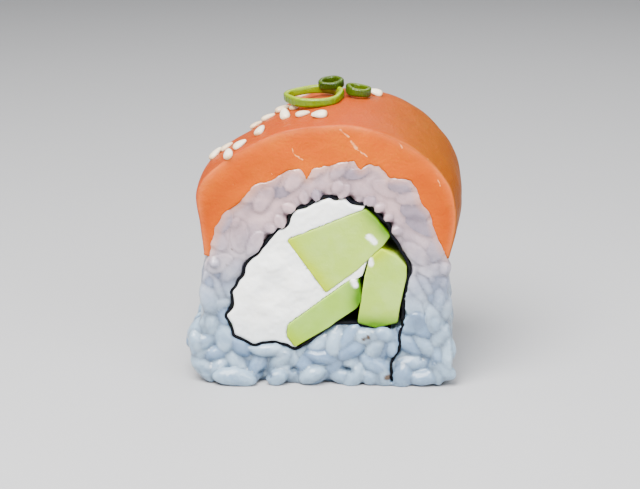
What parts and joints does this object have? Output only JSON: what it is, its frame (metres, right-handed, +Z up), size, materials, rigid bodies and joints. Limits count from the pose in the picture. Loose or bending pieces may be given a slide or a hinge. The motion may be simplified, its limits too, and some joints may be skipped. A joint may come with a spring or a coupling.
{
  "type": "philadelphia roll slice",
  "caption": "Slice of inside-out sushi roll with cream cheese and cucumber in nori and rice, under an arched salmon slab with sesame seeds and spring onion.",
  "frame": {"origin": "middle of the flat base that the slice rests on", "axes": "+X along the slice's width, to the right when the shown cut face is looked at; +Y along the roll, away from the shown cut face; +Z up"},
  "size_m": [0.0499, 0.0289, 0.0538],
  "materials": {
    "rice": "moist translucent cooked rice",
    "nori": "moist dark seaweed sheet",
    "cream_cheese": "soft white cheese, slightly lumpy",
    "cucumber": "wet pale green flesh with a deeper green skin side",
    "salmon": "raw orange fish with pale fat lines, moist",
    "sesame": "toasted white sesame seed",
    "spring_onion": "fresh green leaf, waxy"
  },
  "bodies": {
    "root": {"rice": "rice", "nori": "nori", "cream_cheese": "cream_cheese", "cucumber_top": "cucumber", "cucumber_low": "cucumber", "cucumber_right": "cucumber", "salmon": "salmon", "spring_onion_large": "spring_onion", "spring_onion_small": "spring_onion", "spring_onion_right": "spring_onion"}
  },
  "joints": []
}
